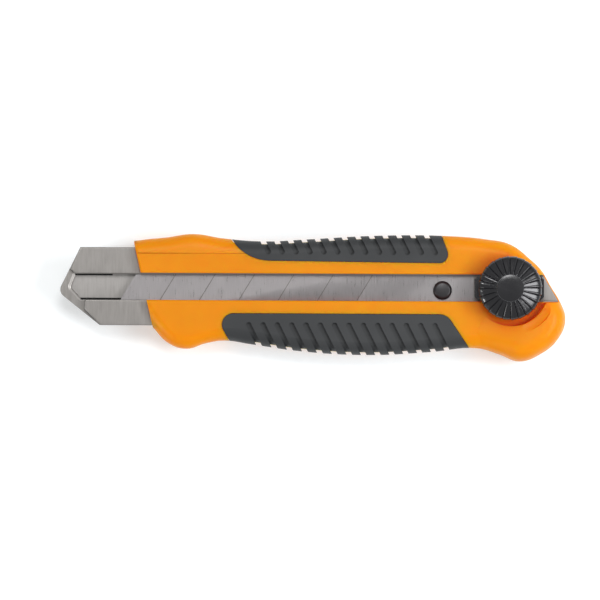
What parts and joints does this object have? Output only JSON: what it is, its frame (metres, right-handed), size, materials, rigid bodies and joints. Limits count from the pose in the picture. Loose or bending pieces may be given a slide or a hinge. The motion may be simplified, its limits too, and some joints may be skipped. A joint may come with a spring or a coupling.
{
  "type": "utility knife",
  "caption": "Heavy-duty snap-off utility knife with a wheel lock, a steel blade channel with a pointed nose, and soft slotted grips on a moulded handle",
  "frame": {"origin": "on the flat back face, on the centreline of the blade channel, at mid-length", "axes": "+X from the nose towards the rear end, +Y towards the upper edge of the handle, +Z out of the face that carries the lock wheel"},
  "size_m": [0.1799, 0.0448, 0.0297],
  "materials": {
    "orange_plastic": "satin moulded plastic",
    "cover_plastic": "fine moulded texture",
    "grip_rubber": "matte soft grip",
    "carrier_steel": "satin folded sheet",
    "blade_steel": "ground carbon steel",
    "black_plastic": "glossy moulded plastic",
    "black_steel": "blackened steel",
    "screw_steel": "zinc plated",
    "brass": "turned brass"
  },
  "bodies": {
    "handle": {"body_shell": "orange_plastic", "back_cover": "cover_plastic", "upper_grip": "grip_rubber", "lower_grip": "grip_rubber", "blade_carrier": "carrier_steel", "carrier_screw_front": "screw_steel", "carrier_screw_rear": "screw_steel", "cover_screw_1": "screw_steel", "cover_screw_2": "screw_steel", "cover_screw_3": "screw_steel", "cover_screw_4": "screw_steel"},
    "slider": {"blade": "blade_steel", "blade_pin": "black_steel", "clamp_plate": "carrier_steel", "slide_block": "black_plastic", "lock_screw": "screw_steel"},
    "washer": {"thrust_washer": "screw_steel"},
    "wheel": {"lock_knob": "black_plastic", "knob_nut": "brass", "knob_cap": "black_plastic"}
  },
  "joints": [
    {"name": "slider_slide", "type": "slide", "parent": "handle", "child": "slider", "axis": [-1, 0, 0], "range_m": [0, 0.098]},
    {"name": "wheel_lift", "type": "slide", "parent": "slider", "child": "washer", "axis": [0, 0, 1], "range_m": [0, 0.0008]},
    {"name": "wheel_turn", "type": "hinge", "parent": "washer", "child": "wheel", "pos_m": [0.07, 0, 0.0206], "axis": [0, 0, 1], "range_deg": [0, 360]}
  ],
  "couplings": [
    {"joint": "wheel_lift", "follows": "wheel_turn", "m_per_rad": 0.00012732}
  ]
}
